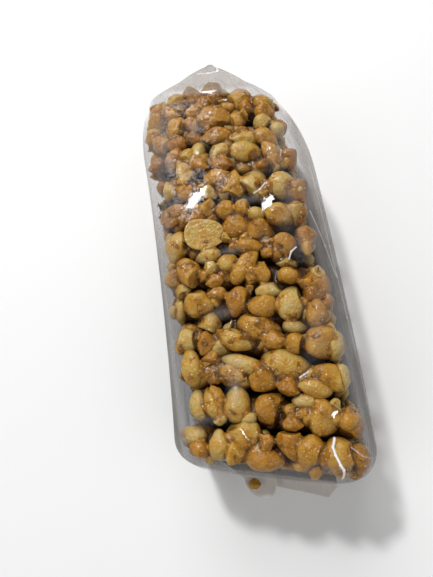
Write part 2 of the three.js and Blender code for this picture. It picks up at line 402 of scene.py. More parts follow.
# ---------------------------------------------------------------------------------------------------------------------
# The kernels along the top of each slab, as the photo shows them, from the near slab to the far one. Each is given by
# the photo pixels of its two ends, with the pointed end last, its width in millimetres, its shape and its tone. A flat
# one is a half that lies with its cut side up, and a lump is a rough piece that may reach past its slab.
TOP_KERNELS = [
    # slab 0, nearest
    ((206, 437), (178, 435), 4.6, "whole", PALE), ((217, 459), (219, 431), 4.8, "whole", STRAW),
    ((259, 434), (226, 436), 6.8, "whole", STRAW), ((258, 444), (273, 440), 3.8, "rough", AMBER),
    ((247, 457), (282, 462), 5.4, "whole", AMBER), ((286, 431), (295, 460), 5.0, "whole", AMBER),
    ((316, 438), (302, 468), 5.8, "whole", GOLDEN), ((336, 440), (343, 478), 6.8, "whole", GOLDEN),
    ((360, 446), (367, 474), 5.4, "whole", AMBER), ((226, 452), (243, 456), 4.4, "rough", GOLDEN),
    ((188, 447), (207, 451), 4.2, "split", AMBER), ((322, 446), (326, 468), 3.0, "chip", BROWN),
    # slab 1
    ((200, 418), (193, 390), 4.6, "split", PALE), ((216, 416), (204, 388), 4.4, "split", STRAW),
    ((236, 421), (236, 386), 6.6, "whole", STRAW), ((222, 403), (207, 387), 3.8, "rough", AMBER),
    ((255, 409), (287, 409), 7.4, "block", AMBER), ((294, 402), (326, 402), 3.8, "split", PALE),
    ((308, 415), (345, 420), 7.0, "rough", GOLDEN), ((346, 414), (362, 438), 5.2, "whole", AMBER),
    ((284, 425), (303, 423), 3.2, "rough", AMBER), ((330, 404), (345, 412), 4.0, "chip", STRAW),
    # slab 2
    ((194, 384), (188, 349), 5.6, "whole", STRAW), ((204, 352), (217, 361), 4.4, "rough", AMBER),
    ((261, 368), (222, 358), 4.6, "split", PALE), ((222, 371), (247, 375), 4.8, "rough", GOLDEN),
    ((250, 375), (277, 384), 5.0, "rough", AMBER), ((263, 361), (309, 369), 7.6, "whole", STRAW),
    ((331, 390), (300, 386), 4.4, "whole", GOLDEN), ((315, 371), (349, 385), 6.0, "rough", GOLDEN),
    ((279, 386), (300, 390), 3.6, "rough", BROWN), ((206, 374), (219, 380), 3.6, "chip", BROWN),
    # slab 3
    ((208, 333), (211, 311), 6.0, "whole", STRAW), ((231, 331), (231, 317), 4.0, "chip", PALE),
    ((239, 323), (279, 331), 6.4, "whole", GOLDEN), ((221, 334), (249, 346), 5.0, "whole", STRAW),
    ((255, 341), (266, 342), 3.4, "chip", AMBER), ((266, 344), (284, 334), 4.8, "rough", AMBER),
    ((286, 343), (307, 342), 5.2, "block", GOLDEN), ((284, 325), (307, 328), 3.8, "split", PALE),
    ((309, 332), (340, 353), 7.2, "rough", GOLDEN), ((176, 340), (197, 340), 5.6, "block", PALE),
    ((198, 342), (215, 344), 5.0, "rough", AMBER),
    # slab 4
    ((176, 290), (190, 291), 4.0, "whole", STRAW), ((184, 301), (212, 305), 7.2, "whole", GOLDEN),
    ((206, 288), (226, 296), 4.2, "rough", AMBER), ((240, 287), (233, 314), 5.6, "whole", AMBER),
    ((246, 287), (253, 296), 3.2, "chip", GOLDEN), ((257, 292), (283, 288), 3.8, "rough", PALE),
    ((275, 304), (249, 306), 5.8, "whole", GOLDEN), ((288, 318), (293, 286), 6.2, "whole", PALE),
    ((307, 312), (330, 314), 6.8, "whole", GOLDEN), ((305, 287), (326, 296), 5.4, "rough", BROWN),
    # slab 5
    ((180, 260), (195, 284), 6.2, "rough", GOLDEN), ((219, 252), (195, 258), 4.4, "split", PALE),
    ((203, 268), (216, 266), 3.6, "rough", STRAW), ((219, 268), (235, 257), 5.0, "whole", STRAW),
    ((234, 281), (256, 248), 5.0, "whole", GOLDEN), ((254, 261), (266, 280), 4.8, "rough", GOLDEN),
    ((275, 257), (297, 263), 3.6, "chip", PALE), ((279, 273), (300, 276), 4.2, "split", GOLDEN),
    ((300, 271), (329, 289), 6.0, "rough", AMBER), ((205, 278), (222, 281), 3.6, "rough", AMBER),
    ((165, 272), (177, 284), 4.6, "rough", AMBER),
    # slab 6
    ((178, 232), (169, 261), 6.4, "whole", STRAW), ((187, 233), (223, 235), 8.4, "flat", STRAW),
    ((222, 239), (233, 238), 3.6, "chip", GOLDEN), ((223, 229), (251, 224), 6.8, "whole", AMBER),
    ((248, 226), (273, 236), 5.8, "rough", AMBER), ((280, 233), (289, 252), 5.2, "whole", AMBER),
    ((236, 243), (262, 244), 4.0, "split", AMBER), ((300, 228), (312, 246), 5.4, "rough", BROWN),
    # slab 7
    ((200, 204), (214, 212), 5.0, "rough", GOLDEN), ((186, 214), (203, 217), 4.6, "rough", BROWN),
    ((224, 200), (226, 218), 5.2, "whole", GOLDEN), ((235, 206), (250, 207), 4.6, "rough", GOLDEN),
    ((248, 211), (264, 212), 3.8, "split", STRAW), ((266, 208), (294, 217), 6.2, "whole", STRAW),
    ((294, 202), (301, 221), 4.6, "whole", BROWN), ((183, 207), (166, 213), 4.6, "rough", AMBER),
    # slab 8
    ((177, 175), (195, 168), 5.8, "rough", STRAW), ((163, 190), (177, 188), 5.0, "whole", PALE),
    ((206, 184), (228, 168), 6.2, "rough", AMBER), ((192, 181), (207, 184), 3.6, "chip", GOLDEN),
    ((232, 195), (234, 170), 5.4, "whole", GOLDEN), ((246, 194), (259, 166), 8.0, "whole", PALE),
    ((279, 171), (282, 195), 6.6, "whole", PALE), ((292, 181), (303, 200), 5.4, "rough", BROWN),
    ((213, 164), (232, 161), 3.8, "rough", BROWN), ((178, 196), (191, 186), 4.4, "rough", AMBER),
    ((266, 173), (270, 188), 3.2, "chip", BROWN),
    # slab 9
    ((229, 132), (202, 136), 4.8, "whole", AMBER), ((231, 134), (257, 137), 4.2, "rough", STRAW),
    ((255, 131), (276, 139), 4.8, "whole", GOLDEN), ((196, 159), (198, 140), 4.6, "split", PALE),
    ((183, 151), (192, 159), 4.6, "whole", STRAW), ((208, 152), (229, 149), 4.8, "rough", PALE),
    ((231, 148), (262, 153), 6.6, "whole", STRAW), ((281, 161), (264, 141), 4.6, "split", GOLDEN),
    ((270, 164), (280, 161), 3.4, "chip", STRAW), ((168, 151), (182, 163), 4.8, "rough", AMBER),
    ((190, 162), (208, 164), 3.8, "rough", AMBER), ((155, 140), (168, 150), 5.0, "rough", AMBER),
    ((168, 138), (184, 146), 5.0, "rough", BROWN), ((284, 150), (292, 166), 4.6, "rough", BROWN),
    # slab 10
    ((197, 117), (231, 118), 7.6, "whole", AMBER), ((236, 110), (238, 129), 5.0, "whole", GOLDEN),
    ((240, 114), (250, 114), 3.6, "chip", GOLDEN), ((180, 117), (170, 138), 5.4, "whole", GOLDEN),
    ((257, 117), (268, 127), 4.8, "rough", STRAW), ((152, 113), (159, 128), 4.8, "rough", GOLDEN),
    ((160, 113), (180, 112), 4.4, "rough", AMBER), ((185, 122), (200, 126), 4.4, "rough", BROWN),
    ((272, 118), (283, 132), 4.8, "rough", BROWN), ((186, 106), (200, 112), 4.6, "rough", AMBER),
    # slab 11, farthest
    ((203, 84), (221, 85), 3.8, "rough", AMBER), ((181, 94), (201, 94), 5.8, "rough", GOLDEN),
    ((169, 104), (184, 94), 4.6, "rough", STRAW), ((203, 98), (220, 96), 5.0, "rough", AMBER),
    ((238, 90), (240, 108), 6.6, "whole", GOLDEN), ((222, 95), (231, 92), 3.4, "chip", PALE),
    ((253, 99), (274, 101), 4.8, "split", GOLDEN), ((256, 108), (273, 110), 4.4, "rough", AMBER),
    ((160, 113), (174, 107), 4.4, "rough", AMBER),
    ((203, 84), (221, 86), 5.2, "lump", AMBER),
]
KERNEL_TOP = 0.0402
EDGE_DROP = 0.0022
END_DROP = 0.0075
END_START = 0.019
THICKNESS_SHARE = {"lump": 0.8, "whole": 0.92, "rough": 0.85, "split": 0.62, "flat": 0.5, "block": 0.85, "chip": 0.8}
MODELLED_AS = {"flat": "split", "lump": "rough"}
FLAT_TILT = Vector((-0.12, 0.10, -1))
AIM_DEPTH = 0.3
OVERHANG = 0.0003
FREE_OVERHANG = 0.0024
MOST_SLOPE = 0.6
TOP_SWAY = 0.15
TOP_TONE_SWAY = 0.06
# A kernel reaches this much further under its neighbours than it shows.
HIDDEN_LENGTH = 1.17
HIDDEN_WIDTH = 1.36
HIDDEN_DEPTH = 1.25
draw = random.Random(7)
top_heap = Heap()
axes = []


def sway(most):
    return draw.uniform(-most, most)


def one_of(variants):
    return variants[draw.randrange(len(variants))]


def top_height(slab, along, across):
    """Height of the kernels' tops at a place on a slab: highest on its middle line, lower at its edges and ends."""
    edge = min(1, abs(across) / (SLAB_THICKNESS / 2))
    end = max(0, abs(along - slab_shifts[slab]) - END_START) / (slab_lengths[slab] / 2 - END_START)
    return KERNEL_TOP - EDGE_DROP * edge ** 2 - END_DROP * end ** 2


def put_top_kernel(back, front, width, shape, tone):
    """Lays a kernel on its slab so that its ends lie behind the two pixels."""
    width /= 1000
    rise = THICKNESS_SHARE[shape] * width
    level = KERNEL_TOP
    for _ in range(2):
        ends = [photo_spot(pixel, level) for pixel in (back, front)]
        slab, along, across = slab_of((ends[0] + ends[1]) / 2)
        level = top_height(slab, along, across) - AIM_DEPTH * rise
    ends = [photo_spot(pixel, level) for pixel in (back, front)]
    centre = (ends[0] + ends[1]) / 2
    if shape != "lump":
        free = (slab == 0 and across < 0) or (slab == SLAB_COUNT - 1 and across > 0)
        overhang = max(0, abs(across) - SLAB_THICKNESS / 2 - (FREE_OVERHANG if free else OVERHANG))
        centre -= slab_across * math.copysign(overhang, across)
    slope = max(-MOST_SLOPE, min(MOST_SLOPE, (along - slab_shifts[slab]) / slab_lengths[slab] * 2)) ** 3
    up = UP + slab_along * slope + Vector((sway(TOP_SWAY), sway(TOP_SWAY), 0))
    if shape == "flat":
        up = FLAT_TILT
    direction = ends[1] - ends[0]
    centre.z = top_height(slab, along, across) - rise / 2
    reach = direction.xy.normalized() * max(0, direction.length - width) / 2
    axes.append((centre.xy - reach, centre.xy + reach, width / 2))
    top_heap.add(
        slab,
        one_of(SHAPES[MODELLED_AS.get(shape, shape)]),
        centre,
        direction - up * direction.dot(up) / up.length_squared,
        up,
        (direction.length * HIDDEN_LENGTH, width * HIDDEN_WIDTH, rise * HIDDEN_DEPTH),
        tone + sway(TOP_TONE_SWAY),
        draw.random(),
    )


for kernel in TOP_KERNELS:
    put_top_kernel(*kernel)

# Smaller kernels and broken bits fill the room that is left on top of each slab.
FILL_TRIES = 220
FILL_LEAST = 0.0009
FILL_MOST = 0.0062
FILL_OVERLAP = 0.0016
FILL_END_ROOM = 0.006
FILL_EDGE_ROOM = 0.0040
FILL_SLIMNESS = (1.15, 1.6)
FILL_DEPTHS = (0.0004, 0.0022)
FILL_SHAPES = ["rough", "rough", "chip", "whole", "split"]
FILL_TONE_SHARES = [1, 2, 5, 7, 3]
FILL_SWAY = 0.4


def off_line(place, start, end):
    """How far a place is from the line between two others."""
    line = end - start
    share = max(0, min(1, (place - start).dot(line) / max(line.length_squared, 1e-9)))
    return (place - start - line * share).length


def room_at(place):
    """How far a place is, seen from above, from the nearest kernel that is there already."""
    return min([1.0] + [off_line(place, start, end) - radius for start, end, radius in axes])


# Nothing fills the dark gaps that the photo shows. Each is given by two pixels and how far it reaches round them.
DARK_GAPS = [
    ((283, 434), (352, 439), 0.0010), ((352, 439), (386, 444), 0.0007), ((240, 386), (262, 390), 0.0008),
    ((303, 352), (318, 360), 0.0016), ((212, 377), (219, 382), 0.0012), ((265, 316), (302, 319), 0.0006),
    ((216, 311), (229, 315), 0.0010), ((279, 266), (281, 284), 0.0014), ((222, 248), (240, 252), 0.0008),
    ((216, 192), (232, 199), 0.0010), ((246, 200), (262, 199), 0.0010), ((196, 171), (203, 178), 0.0010),
    ((164, 172), (168, 180), 0.0010), ((300, 228), (302, 238), 0.0010), ((244, 117), (252, 126), 0.0010),
    ((184, 110), (188, 122), 0.0010), ((246, 350), (262, 352), 0.0006), ((245, 388), (252, 400), 0.0008),
]
GAP_MARGIN = 0.0015
dark_gaps = [
    (photo_spot(start, KERNEL_TOP - EDGE_DROP).xy, photo_spot(end, KERNEL_TOP - EDGE_DROP).xy, reach)
    for start, end, reach in DARK_GAPS
]


def in_dark_gap(place):
    return any(off_line(place, start, end) < reach + GAP_MARGIN for start, end, reach in dark_gaps)


axes += dark_gaps
for slab in range(SLAB_COUNT):
    for _ in range(FILL_TRIES):
        along = sway(0.5) * (slab_lengths[slab] - FILL_END_ROOM) + slab_shifts[slab]
        across = sway(0.5) * (SLAB_THICKNESS - FILL_EDGE_ROOM)
        place = in_slab(slab, along, across, 0)
        room = room_at(place.xy)
        if room < FILL_LEAST:
            continue
        width = min(FILL_MOST, 2 * room + FILL_OVERLAP)
        shape = draw.choice(FILL_SHAPES)
        size = (width * draw.uniform(*FILL_SLIMNESS), width, width * THICKNESS_SHARE[shape])
        way = Vector((sway(1), sway(0.6), sway(0.3)))
        place.z = top_height(slab, along, across) - draw.uniform(*FILL_DEPTHS) - size[2] / 2
        tone = draw.choices(TONES, FILL_TONE_SHARES)[0]
        lean = UP + Vector((sway(FILL_SWAY), sway(FILL_SWAY), 0))
        top_heap.add(slab, one_of(SHAPES[shape]), place, way, lean, size, tone, draw.random())
        reach = way.xy.normalized() * (size[0] - width) / 2
        axes.append((place.xy - reach, place.xy + reach, width / 2))

# ---------------------------------------------------------------------------------------------------------------------
# The kernels round the other sides of each slab, and over the outer faces of the first and the last one, are packed
# in the same way but at random. Each slab has one band of them, as deep as a kernel, round a solid middle.
side_heap = Heap()
CORNER = 0.008
SKIN = 0.0006
SIDE_MIX = {"whole": 4, "rough": 4, "split": 3, "block": 1, "chip": 2}
SIDE_TONE_SHARES = [2, 4, 5, 4, 1]
SIDE_LENGTHS = (0.0085, 0.0125)
SIDE_WIDTH_SHARES = (0.55, 0.68)
SMALL_SHARE = 0.6
SIDE_TONE_SWAY = 0.08
FLUSHNESS = 0.85
SIDE_TILT = 0.15


def slab_edge(slab, distance):
    """A point on a slab's upright outline, a distance round it from its top right corner down, and the way out."""
    half = slab_lengths[slab] / 2 - CORNER
    upright = SLAB_HEIGHT / 2 - CORNER
    arc = CORNER * math.pi / 2
    stretches = [
        (2 * upright, Vector((half + CORNER, upright)), Vector((0, -1)), None),
        (arc, Vector((half, -upright)), None, 0),
        (2 * half, Vector((half, -upright - CORNER)), Vector((-1, 0)), None),
        (arc, Vector((-half, -upright)), None, -math.pi / 2),
        (2 * upright, Vector((-half - CORNER, -upright)), Vector((0, 1)), None),
    ]
    for length, start, way, begin in stretches:
        if distance <= length or start is stretches[-1][1]:
            break
        distance -= length
    if way is not None:
        point = start + way * distance
        out = Vector((-way.y, way.x))
    else:
        angle = begin - distance / CORNER
        out = Vector((math.cos(angle), math.sin(angle)))
        point = start + out * CORNER
    return point, out


def edge_length(slab):
    return 2 * 2 * (SLAB_HEIGHT / 2 - CORNER) + 2 * (slab_lengths[slab] / 2 - CORNER) + math.pi * CORNER


def random_kernel(small):
    """Shape, size and tone of a kernel at random, as they are mixed in brittle."""
    shape = draw.choices(list(SIDE_MIX), list(SIDE_MIX.values()))[0]
    length = draw.uniform(*SIDE_LENGTHS) * (SMALL_SHARE if small or shape == "chip" else 1)
    width = length * draw.uniform(*SIDE_WIDTH_SHARES)
    tone = draw.choices(TONES, SIDE_TONE_SHARES)[0]
    return shape, (length, width, width * THICKNESS_SHARE[shape]), tone + sway(SIDE_TONE_SWAY)


def put_side_kernel(slab, place, out, small):
    """Presses a kernel into a slab's side, flush with its outline."""
    shape, size, tone = random_kernel(small)
    tilt = Vector((sway(1), sway(1), sway(1)))
    side_heap.add(
        slab,
        one_of(PLAIN_SHAPES[shape]),
        place - out * (size[2] / 2 + SKIN),
        tilt - out * tilt.dot(out) * FLUSHNESS,
        out + tilt * SIDE_TILT,
        size,
        tone,
        draw.random(),
    )


def put_edge_kernel(slab, distance, across, small):
    """Puts a kernel a distance round a slab's outline, and to one side of its middle."""
    point, out = slab_edge(slab, distance)
    place = in_slab(slab, point.x + slab_shifts[slab], across, point.y + SLAB_HEIGHT / 2)
    put_side_kernel(slab, place, slab_along * out.x + UP * out.y, small)


# Round each slab large and small kernels take turns, on either side of its middle.
EDGE_START = -0.002
EDGE_STEP = 0.0062
EDGE_STEPS_VARY = (0.8, 1.15)
LARGE_ACROSS = (0.0004, 0.0022)
SMALL_ACROSS = (0.0017, 0.0028)
for slab in range(SLAB_COUNT):
    distance = EDGE_START
    side = 1
    while distance < edge_length(slab):
        put_edge_kernel(slab, distance, side * draw.uniform(*LARGE_ACROSS), False)
        put_edge_kernel(slab, distance + EDGE_STEP / 2, -side * draw.uniform(*SMALL_ACROSS), True)
        distance += EDGE_STEP * draw.uniform(*EDGE_STEPS_VARY)
        side = -side

# A lower layer of kernels shows between those on top.
LOWER_STEP = 0.0050
LOWER_STEPS_VARY = (0.8, 1.2)
LOWER_START = 0.005
LOWER_END = 0.004
LOWER_TOP = 0.0382
LOWER_TOPS_VARY = (-0.0008, 0.0006)
LOWER_ACROSS = (0.0002, 0.0014)
for slab in range(SLAB_COUNT):
    half = slab_lengths[slab] / 2
    along = LOWER_START - half
    side = 1
    while along < half - LOWER_END:
        across = side * draw.uniform(*LOWER_ACROSS)
        top = LOWER_TOP - END_DROP * max(0, (abs(along) - END_START) / (half - END_START)) ** 2
        place = in_slab(slab, along + slab_shifts[slab], across, top + draw.uniform(*LOWER_TOPS_VARY) - SLAB_FOOT)
        if not in_dark_gap(place.xy):
            put_side_kernel(slab, place, UP, False)
        along += LOWER_STEP * draw.uniform(*LOWER_STEPS_VARY)
        side = -side

# The outer faces of the first and the last slab are covered in rows, a large and a small kernel in each place.
FACE_COLUMNS = 6
FACE_ROWS = 5
FACE_MARGIN = 0.004
FACE_SWAY = 0.3
FACE_PAIR = 0.004
for slab, facing in ((0, -1), (SLAB_COUNT - 1, 1)):
    for column in range(FACE_COLUMNS):
        for row in range(FACE_ROWS):
            along = (column + 0.5 + sway(FACE_SWAY)) / FACE_COLUMNS - 0.5
            up = (row + 0.5 + sway(FACE_SWAY)) / FACE_ROWS
            place = in_slab(
                slab,
                along * (slab_lengths[slab] - 2 * FACE_MARGIN) + slab_shifts[slab],
                facing * SLAB_THICKNESS / 2,
                FACE_MARGIN + up * (SLAB_HEIGHT - 2 * FACE_MARGIN),
            )
            put_side_kernel(slab, place, slab_across * facing, False)
            place += slab_along * FACE_PAIR + UP * sway(FACE_PAIR)
            put_side_kernel(slab, place, slab_across * facing, True)

# ---------------------------------------------------------------------------------------------------------------------
# Caramel: glossy orange-brown boiled sugar that binds a slab's kernels. It coats each kernel thinly and fills the
# hollows between them. Each slab's caramel is one skin, shrunk over its kernels and its solid middle.
CARAMEL_VOXEL = 0.00055
CARAMEL_SMOOTHING = 7
CARAMEL_KEEP = 0.55
CORE_INSET = 0.0044
CORE_CLEAR = 0.0006
CORE_ROUNDING = 0.003


def core_block(slab):
    """The slab's solid middle, a block with rounded edges."""
    bpy.ops.object.select_all(action="DESELECT")
    bpy.ops.mesh.primitive_cube_add(size=1)
    block = bpy.context.object
    bpy.ops.object.mode_set(mode="EDIT")
    bpy.ops.mesh.select_all(action="SELECT")
    bpy.ops.transform.resize(value=(
        slab_lengths[slab] - 2 * CORE_INSET,
        SLAB_THICKNESS - CORE_CLEAR,
        SLAB_HEIGHT - 2 * CORE_INSET,
    ))
    bpy.ops.mesh.bevel(offset=CORE_ROUNDING, segments=3, affect="EDGES")
    bpy.ops.object.mode_set(mode="OBJECT")
    place = in_slab(slab, slab_shifts[slab], 0, SLAB_HEIGHT / 2)
    block.data.transform(Matrix.Translation(place) @ Matrix.Rotation(-SLAB_YAW, 4, "Z"))
    return taken_apart(block)


def apply_modifiers(piece):
    bpy.ops.object.select_all(action="DESELECT")
    piece.select_set(True)
    bpy.context.view_layer.objects.active = piece
    for modifier in list(piece.modifiers):
        bpy.ops.object.modifier_apply(modifier=modifier.name)


def cloud_texture(name, scale):
    texture = bpy.data.textures.new(name, "CLOUDS")
    texture.noise_scale = scale
    texture.noise_depth = 1
    return texture


# The caramel's lumps: a texture, how high they are, and where in the texture the skin keeps its place
LUMPS = [
    (cloud_texture("caramel_swell", 0.0035), 0.0008, 0.72),
    (cloud_texture("caramel_grit", 0.0011), 0.0003, 0.5),
]


def slab_caramel(slab):
    """One slab's caramel, shrunk over its kernels."""
    points, faces = core_block(slab)
    blocks = [points]
    count = len(points)
    for heap in (top_heap, side_heap):
        for owner, placed, kernel_faces in heap.copies:
            if owner == slab:
                blocks.append(placed)
                faces += [tuple(i + count for i in face) for face in kernel_faces]
                count += len(placed)
    piece = new_piece(f"caramel_{slab + 1:02d}", np.concatenate(blocks), faces)
    skin = piece.modifiers.new("skin", "REMESH")
    skin.mode = "VOXEL"
    skin.voxel_size = CARAMEL_VOXEL
    skin.use_smooth_shade = True
    shrink = piece.modifiers.new("shrink", "SMOOTH")
    shrink.factor = 0.5
    shrink.iterations = CARAMEL_SMOOTHING
    for texture, strength, middle in LUMPS:
        lumps = piece.modifiers.new(texture.name, "DISPLACE")
        lumps.texture = texture
        lumps.texture_coords = "LOCAL"
        lumps.strength = strength
        lumps.mid_level = middle
    fewer = piece.modifiers.new("fewer", "DECIMATE")
    fewer.ratio = CARAMEL_KEEP
    apply_modifiers(piece)
    return piece


caramel_pieces = [slab_caramel(slab) for slab in range(SLAB_COUNT)]

# ---------------------------------------------------------------------------------------------------------------------
# The finish of the caramel and of the kernels in it: clear boiled sugar over roasted nut, glossy all over, with painted
# shade that darkens them deep between the kernels. Finishes are written as sums of sockets, and each sum adds its own
# nodes.


class Socket:
    """One output of a material's nodes."""

    def __init__(self, finish, output):
        self.finish = finish
        self.output = output

    def _math(self, operation, first, second):
        return self.finish.node("ShaderNodeMath", {"operation": operation}, {0: first, 1: second})

    def __add__(self, other):
        return self._math("ADD", self, other)

    def __sub__(self, other):
        return self._math("SUBTRACT", self, other)

    def __mul__(self, other):
        return self._math("MULTIPLY", self, other)

    def __truediv__(self, other):
        return self._math("DIVIDE", self, other)

    def __rsub__(self, other):
        return self._math("SUBTRACT", other, self)

    def clamped(self):
        return self._math("MAXIMUM", self._math("MINIMUM", self, 1), 0)

    __radd__ = __add__
    __rmul__ = __mul__


class Finish:
    """A material and its shader. node() adds any other node."""

    def __init__(self, name):
        self.material = bpy.data.materials.new(name)
        self.material.use_nodes = True
        self.nodes = self.material.node_tree.nodes
        self.links = self.material.node_tree.links
        self.shader = self.nodes["Principled BSDF"]

    def feed(self, node, sockets):
        """Gives a node's sockets their values or links."""
        for key, value in sockets.items():
            if isinstance(value, Socket):
                self.links.new(value.output, node.inputs[key])
            else:
                node.inputs[key].default_value = value

    def node(self, kind, settings=None, sockets=None, output=0):
        node = self.nodes.new(kind)
        for key, value in (settings or {}).items():
            if key == "stops":
                ramp = node.color_ramp
                while len(ramp.elements) < len(value):
                    ramp.elements.new(0.5)
                for element, (place, colour) in zip(ramp.elements, value):
                    element.position = place
                    element.color = colour
            else:
                setattr(node, key, value)
        self.feed(node, sockets or {})
        return Socket(self, node.outputs[output])

    def attribute(self, name):
        return self.node("ShaderNodeAttribute", {"attribute_name": name}, output="Fac")

    def place(self):
        return self.node("ShaderNodeTexCoord", output="Object")

    def noise(self, scale, detail=3, roughness=0.5, distortion=0, place=None):
        return self.node("ShaderNodeTexNoise", {}, {
            "Vector": place or self.place(),
            "Scale": scale,
            "Detail": detail,
            "Roughness": roughness,
            "Distortion": distortion,
        })

    def step(self, value, low, high):
        """0 below low, 1 above high, and smooth between."""
        return self.node("ShaderNodeMapRange", {"interpolation_type": "SMOOTHSTEP"}, {
            "Value": value, "From Min": low, "From Max": high,
        })

    def mix(self, share, first, second):
        return self.node("ShaderNodeMix", {"data_type": "RGBA"}, {"Factor": share, 6: first, 7: second}, output=2)

    def bump(self, height, strength, distance):
        return self.node("ShaderNodeBump", {}, {"Height": height, "Strength": strength, "Distance": distance})

    def wear(self, piece):
        piece.data.materials.clear()
        piece.data.materials.append(self.material)


def colour(red, green, blue):
    """A paint colour from its 0 to 255 values, as linear light."""
    values = (red, green, blue)
    return tuple(((value / 255 + 0.055) / 1.055) ** 2.4 if value > 10 else value / 3294 for value in values) + (1,)


# Painted shade: caramel and kernels are coloured towards this brown the deeper they lie inside a slab.
DEPTH_SHADE_BROWN = colour(56, 30, 7)
SHADE_DEPTH_START = 0.0014
SHADE_DEPTH_END = 0.0050
# Painted highlights: tiny spots of this pale colour on caramel and kernels stand for glints on the sugar.
PAINTED_GLINT = colour(250, 232, 190)
PAINTED_GLINT_SCALE = 1400
SUGAR_GLOSS = {
    "Specular IOR Level": 0.3,
    "Subsurface Weight": 0.3,
    "Subsurface Scale": 0.0016,
    "Coat Weight": 0.12,
}


def caramel_finish():
    """Caramel is a clear orange-brown, with painted shade that browns it in its hollows and deep in the slab, and
    painted glints.
    """
    finish = Finish("caramel")
    thin = finish.mix(finish.step(finish.noise(240, 3), 0.36, 0.66), colour(124, 80, 18), colour(184, 128, 40))
    # Painted shade: the caramel is darkened in the hollows of its skin, and the hollows deepen the painted depth shade.
    hollow = finish.attribute("hollow")
    deep = finish.step(finish.attribute("depth") + hollow * 0.0012, SHADE_DEPTH_START, SHADE_DEPTH_END)
    thin = finish.mix(hollow * 0.7, thin, colour(80, 45, 9))
    # Painted highlights: pale specks on the caramel stand for small glints.
    painted_speck_highlight = finish.step(finish.noise(700, 2), 0.62, 0.70) * 0.6
    # Painted glints on the caramel.
    painted_glint = finish.step(finish.noise(PAINTED_GLINT_SCALE, 1), 0.68, 0.74)
    thin = finish.mix(painted_glint * 0.9, thin, PAINTED_GLINT)
    finish.feed(finish.shader, {
        "Base Color": finish.mix(deep, finish.mix(painted_speck_highlight, thin, colour(188, 148, 84)), DEPTH_SHADE_BROWN),
        "Roughness": finish.noise(900, 2) * 0.2 + 0.1,
        "Normal": finish.bump(finish.noise(1300, 3), 0.4, 0.0005),
        "Subsurface Radius": (1, 0.5, 0.15),
        "Coat Roughness": 0.05,
        **SUGAR_GLOSS,
    })
    return finish


def kernel_finish():
    """A kernel is cream to golden, toasted in patches, and orange-brown where caramel clings to it, with painted shade
    where it meets the caramel and deep in the slab, and painted glints.
    """
    finish = Finish("kernel")
    patch = finish.noise(110, 2)
    tone = finish.attribute("tone") + (patch - 0.5) * 0.5
    own = finish.node("ShaderNodeValToRGB", {"stops": [
        (0.0, colour(190, 164, 98)),
        (0.28, colour(188, 156, 76)),
        (0.52, colour(188, 140, 44)),
        (0.75, colour(178, 122, 26)),
        (1.0, colour(154, 98, 16)),
    ]}, {"Fac": tone})
    glaze_and_rim_shade = finish.mix(finish.step(tone, 0.0, 0.9), colour(188, 136, 36), colour(156, 100, 16))
    bare = finish.attribute("bare") + (0.42 - finish.attribute("tone")) * 0.25 + (finish.noise(380, 3) - 0.5) * 0.6
    # Painted shade: where the kernel meets the caramel skin its glaze is darkened to a deep brown.
    glaze_and_rim_shade = finish.mix(finish.step(finish.attribute("bare"), 0.0, 0.15), colour(88, 50, 10), glaze_and_rim_shade)
    shown = finish.step(bare, 0.05, 0.65)
    # Painted shade: the kernel darkens towards a deep brown the deeper it lies inside its slab.
    deep = finish.step(finish.attribute("depth"), SHADE_DEPTH_START, SHADE_DEPTH_END)
    grain = finish.noise(1500, 3)
    skin = finish.mix(finish.step(grain, 0.4, 0.75) * 0.3, finish.mix(shown, glaze_and_rim_shade, own), colour(200, 172, 110))
    skin = finish.mix(finish.step(finish.noise(1100, 3), 0.55, 0.75) * 0.25, skin, colour(124, 76, 22))
    # Painted glints on the kernel.
    painted_glint = finish.step(finish.noise(PAINTED_GLINT_SCALE, 1), 0.70, 0.76)
    skin = finish.mix(painted_glint * 0.8, skin, PAINTED_GLINT)
    finish.feed(finish.shader, {
        "Base Color": finish.mix(deep * 0.85, skin, DEPTH_SHADE_BROWN),
        "Roughness": shown * 0.14 + grain * 0.14 + 0.08,
        "Normal": finish.bump(grain + finish.noise(600, 2) * 1.8, 0.75, 0.0004),
        "Subsurface Radius": (1, 0.6, 0.25),
        "Coat Roughness": 0.06,
        **SUGAR_GLOSS,
    })
    return finish


caramel = caramel_finish()
kernel = kernel_finish()


def store(piece, name, values):
    piece.data.attributes.new(name, "FLOAT", "POINT").data.foreach_set("value", values)


def tree_of(pieces):
    """All the pieces' faces, for finding what is nearest."""
    points = []
    faces = []
    for piece in pieces:
        start = len(points)
        points += [tuple(vertex.co) for vertex in piece.data.vertices]
        faces += [tuple(i + start for i in face.vertices) for face in piece.data.polygons]
    return BVHTree.FromPolygons(points, faces)


def points_of(piece):
    points = np.empty(len(piece.data.vertices) * 3)
    piece.data.vertices.foreach_get("co", points)
    return points.reshape(-1, 3)


def depths(piece):
    """How deep each point lies below its slab's outline, on whichever open side is nearest."""
    across, station, height = pack_place(points_of(piece))
    slabs = np.clip((station + ROW_END) // SLAB_PITCH, 0, SLAB_COUNT - 1).astype(int)
    along = np.abs(across - np.array(slab_shifts)[slabs]) - (np.array(slab_lengths)[slabs] / 2 - CORNER)
    upright = np.abs(height - SLAB_FOOT - SLAB_HEIGHT / 2) - (SLAB_HEIGHT / 2 - CORNER)
    depth = CORNER - np.hypot(np.maximum(along, 0), np.maximum(upright, 0))
    depth = np.where(upright < 0, np.minimum(depth, CORNER - along), depth)
    return np.clip(np.minimum(depth, ROW_END - np.abs(station)), 0, None)


HOLLOW_STEPS = 8
HOLLOW_FULL = 0.0004


